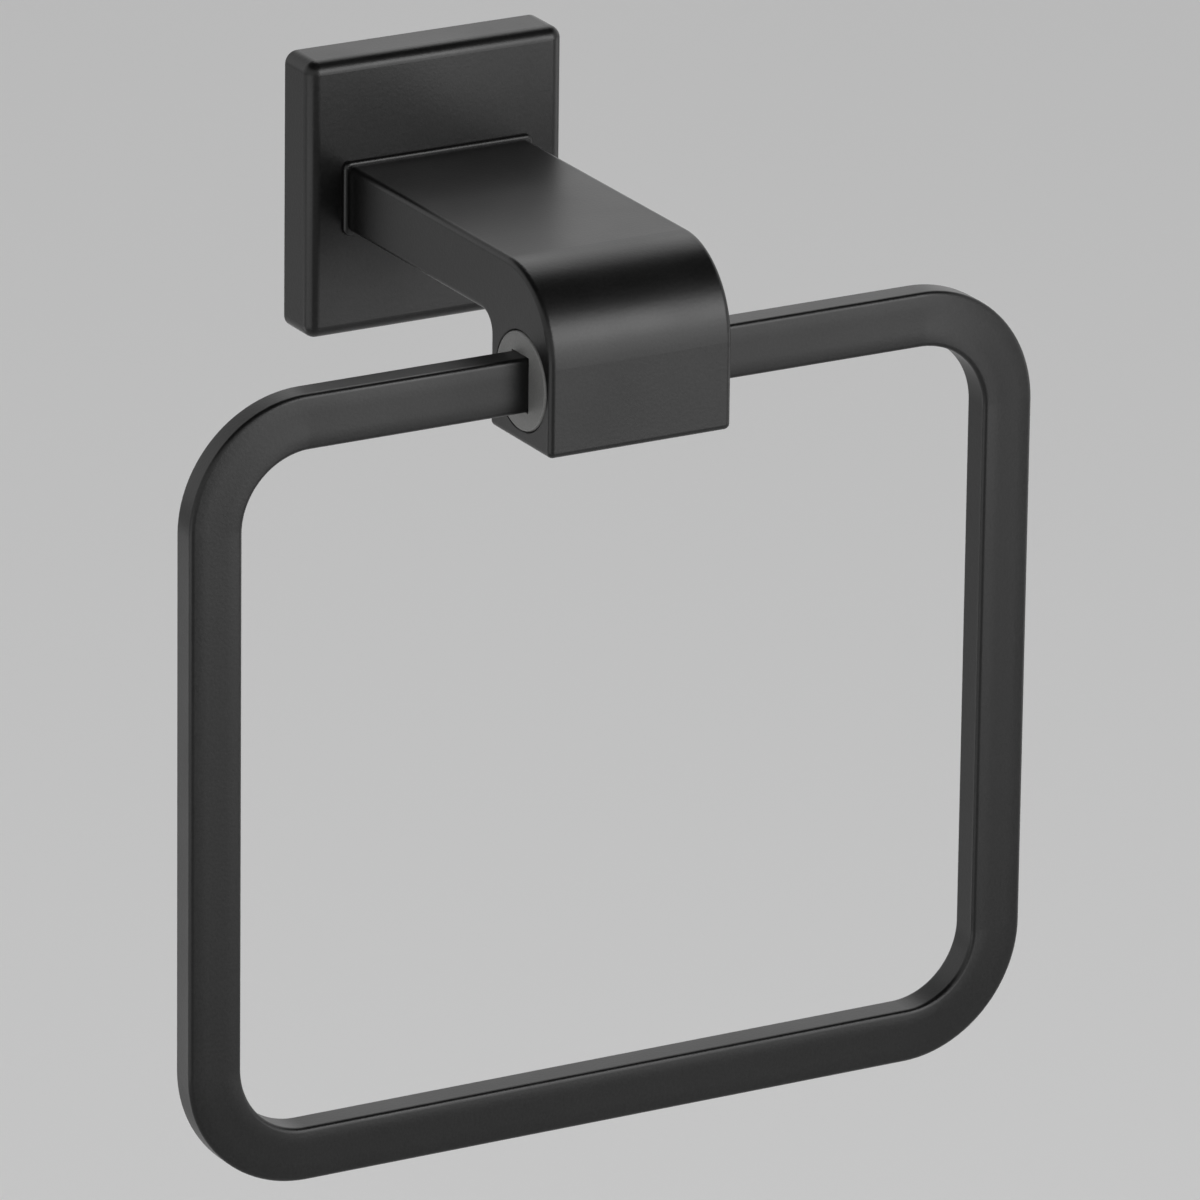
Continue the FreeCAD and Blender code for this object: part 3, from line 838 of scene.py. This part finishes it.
@dataclass(frozen=True)
class PhotoCamera:
    """The camera, at the photograph's viewing angle.

    Attributes:
        azimuth: degrees round the object from straight in front, to the right.
        elevation: degrees above the horizon.
        roll: degrees of tilt about the line of sight.
        distance: metres from the aim point.
        focal_pixels: focal length in pixels of the picture.
        aim: the point in the middle of the picture.
        near: where the view begins.
        far: where the view ends.
    """

    azimuth: float = -29.4
    elevation: float = 19.587
    roll: float = 0.722
    distance: float = 2.24265
    focal_pixels: float = 12828.44
    aim: Triple = (0.00369, -0.06327, -0.06144)
    near: float = 0.05
    far: float = 60.0

    def build(self) -> bpy.types.Object:
        """Place the camera and make it the scene's own.

        Returns:
            The camera object.
        """
        azimuth = math.radians(self.azimuth)
        elevation = math.radians(self.elevation)
        roll = math.radians(self.roll)
        flat = math.cos(elevation)
        back = Vector((math.sin(azimuth) * flat, -math.cos(azimuth) * flat, math.sin(elevation)))
        level = (-back).cross(Vector((0, 0, 1))).normalized()
        upright = level.cross(-back)
        right = level * math.cos(roll) + upright * math.sin(roll)
        up = upright * math.cos(roll) - level * math.sin(roll)
        place = Vector(self.aim) + back * self.distance
        lens = bpy.data.cameras.new("photo_camera")
        lens.lens = self.focal_pixels / PICTURE_PIXELS * SENSOR_WIDTH
        lens.sensor_width = SENSOR_WIDTH
        lens.clip_start = self.near
        lens.clip_end = self.far
        camera = bpy.data.objects.new("photo_camera", lens)
        turn = Matrix((right, up, back)).transposed().to_4x4()
        camera.matrix_world = Matrix.Translation(place) @ turn
        bpy.context.scene.collection.objects.link(camera)
        bpy.context.scene.camera = camera
        return camera


@dataclass(frozen=True)
class Softbox:
    """A soft studio lamp.

    Attributes:
        name: the lamp's name.
        place: where it hangs.
        aim: what it points at.
        size: its width and height.
        power: watts.
    """

    name: str
    place: Triple
    aim: Triple
    size: tuple[float, float]
    power: float

    def build(self) -> bpy.types.Object:
        """Hang the lamp.

        Returns:
            The lamp object.
        """
        light = bpy.data.lights.new(self.name, "AREA")
        light.shape = "RECTANGLE"
        light.size, light.size_y = self.size
        light.energy = self.power
        lamp = bpy.data.objects.new(self.name, light)
        toward = Vector(self.aim) - Vector(self.place)
        lamp.rotation_euler = toward.to_track_quat("-Z", "Y").to_euler()
        lamp.location = self.place
        lamp.visible_camera = False
        bpy.context.scene.collection.objects.link(lamp)
        return lamp


@dataclass(frozen=True)
class Studio:
    """The pale floor, the pale surroundings and the lamps.

    Attributes:
        floor_level: the floor's height.
        floor_span: the floor's side.
        floor_colour: the floor's colour, linear.
        floor_roughness: the floor's roughness.
        floor_sheen: the floor's specular level.
        floor_glow: the share of white in the floor as the camera and reflections see it.
        dome: the sine of an elevation and the brightness there, from the horizon up.
        lamps: the soft lamps.
    """

    floor_level: float = -0.55
    floor_span: float = 12.0
    floor_colour: Triple = (0.82, 0.82, 0.82)
    floor_roughness: float = 0.9
    floor_sheen: float = 0.1
    floor_glow: float = 0.22
    dome: tuple[tuple[float, float], ...] = ((0.0, 1.0), (0.5, 1.0), (0.66, 0.15), (0.8, 0.03))
    lamps: tuple[Softbox, ...] = (
        Softbox("right_box", place=(0.43, -0.98, 0.13), aim=(0.0, -0.07, 0.13),
                size=(0.52, 1.0), power=2.8),
        Softbox("front_box", place=(0.27, -0.62, -0.02), aim=(0.0, -0.07, -0.02),
                size=(0.36, 0.64), power=0.7),
        Softbox("upper_box", place=(0.25, -0.57, 0.23), aim=(0.0, -0.07, 0.05),
                size=(0.28, 0.28), power=0.92),
        Softbox("side_box", place=(1.1, -0.35, -0.3), aim=(0.0, -0.07, -0.1),
                size=(0.7, 0.4), power=1.2),
        Softbox("left_box", place=(-1.16, -0.36, -0.38), aim=(-0.05, -0.07, -0.05),
                size=(1.3, 0.3), power=2.4),
        Softbox("low_left_box", place=(-0.4, 0.3, -0.33), aim=(-0.08, -0.07, -0.08),
                size=(0.2, 0.3), power=0.3),
        Softbox("back_box", place=(0.6, 0.7, 1.0), aim=(0.0, -0.07, 0.0),
                size=(0.7, 0.7), power=2.9),
    )

    def build(self) -> None:
        """Lay the floor, light the surroundings and hang the lamps."""
        self.lay_floor()
        self.light_surroundings()
        for lamp in self.lamps:
            lamp.build()

    def lay_floor(self) -> None:
        """Lay the plain pale floor."""
        bpy.ops.mesh.primitive_plane_add(size=self.floor_span, location=(0, 0, self.floor_level))
        floor = bpy.context.object
        floor.name = "studio_floor"
        material = bpy.data.materials.new("pale_floor")
        material.use_nodes = True
        shader = material.node_tree.nodes["Principled BSDF"]
        shader.inputs["Base Color"].default_value = (*self.floor_colour, 1.0)
        shader.inputs["Roughness"].default_value = self.floor_roughness
        shader.inputs["Specular IOR Level"].default_value = self.floor_sheen
        self.lift_floor(material.node_tree, shader)
        floor.data.materials.append(material)

    def lift_floor(self, tree: bpy.types.ShaderNodeTree, shader: bpy.types.Node) -> None:
        """Let the floor look paler to the camera and in reflections, with its shadow kept.

        Args:
            tree: the floor's node tree.
            shader: its plain shader.
        """
        nodes, links = tree.nodes, tree.links
        path = nodes.new("ShaderNodeLightPath")
        seen = nodes.new("ShaderNodeMath")
        seen.operation = "MAXIMUM"
        links.new(path.outputs["Is Camera Ray"], seen.inputs[0])
        links.new(path.outputs["Is Glossy Ray"], seen.inputs[1])
        share = nodes.new("ShaderNodeMath")
        share.operation = "MULTIPLY"
        share.inputs[1].default_value = self.floor_glow
        links.new(seen.outputs["Value"], share.inputs[0])
        white = nodes.new("ShaderNodeEmission")
        white.inputs["Strength"].default_value = 1.0
        mix = nodes.new("ShaderNodeMixShader")
        links.new(share.outputs["Value"], mix.inputs["Fac"])
        links.new(shader.outputs["BSDF"], mix.inputs[1])
        links.new(white.outputs["Emission"], mix.inputs[2])
        links.new(mix.outputs["Shader"], nodes["Material Output"].inputs["Surface"])

    def light_surroundings(self) -> None:
        """Light the surroundings, pale low down and dark overhead."""
        world = bpy.data.worlds.new("studio")
        bpy.context.scene.world = world
        world.use_nodes = True
        nodes, links = world.node_tree.nodes, world.node_tree.links
        heading = nodes.new("ShaderNodeTexCoord")
        split = nodes.new("ShaderNodeSeparateXYZ")
        dome = nodes.new("ShaderNodeValToRGB")
        dome.color_ramp.interpolation = "EASE"
        while len(dome.color_ramp.elements) > 1:
            dome.color_ramp.elements.remove(dome.color_ramp.elements[-1])
        dome.color_ramp.elements[0].position = self.dome[0][0]
        dome.color_ramp.elements[0].color = (self.dome[0][1],) * 3 + (1.0,)
        for level, tone in self.dome[1:]:
            dome.color_ramp.elements.new(level).color = (tone,) * 3 + (1.0,)
        links.new(heading.outputs["Generated"], split.inputs["Vector"])
        links.new(split.outputs["Z"], dome.inputs["Fac"])
        links.new(dome.outputs["Color"], nodes["Background"].inputs["Color"])


@dataclass
class TowelRing:
    """The whole product: which pieces stand for which solids, and what each is finished in."""

    paint: Paintbox

    def build(self) -> None:
        """Dress the solids of the part and add the modelled pieces."""
        for node in ("wall_plate", "arm"):
            self.paint.coat_node(node, Slot.BLACK_PAINT)
        for node, screw in screws().items():
            self.add(screw.build(), Body.POST, Slot.PLATED_STEEL, (node,))
        self.add(WallBracket().build(), Body.POST, Slot.PLATED_STEEL, ("wall_bracket",))
        self.add(RingBar().build(), Body.RING, Slot.BLACK_PAINT, ("ring_bar",))
        for side in Side:
            node = f"bush_{side.name.lower()}"
            self.add(Bush(side).build(), Body.RING, Slot.BUSH_PLASTIC, (node,))

    def add(self, piece: bpy.types.Object, body: Body, slot: Slot, nodes: Sequence[str]) -> None:
        """Finish a piece, make it ride on its body and hide the solids that it stands for.

        Args:
            piece: the modelled piece.
            body: the body that it moves with.
            slot: the material slot of its finish.
            nodes: the solids that it stands for.
        """
        self.paint.coat(piece, slot)
        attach(piece, body.value)
        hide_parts(*nodes)
        LOG.info("%s: %d faces", piece.name, len(piece.data.polygons))


def main() -> None:
    """Build the camera, the studio and the dressed towel ring."""
    logging.basicConfig(level=logging.INFO, format="%(message)s")
    bpy.context.scene.view_settings.view_transform = "Standard"
    PhotoCamera().build()
    Studio().build()
    TowelRing(Paintbox.mixed()).build()


if __name__ == "__main__":
    main()
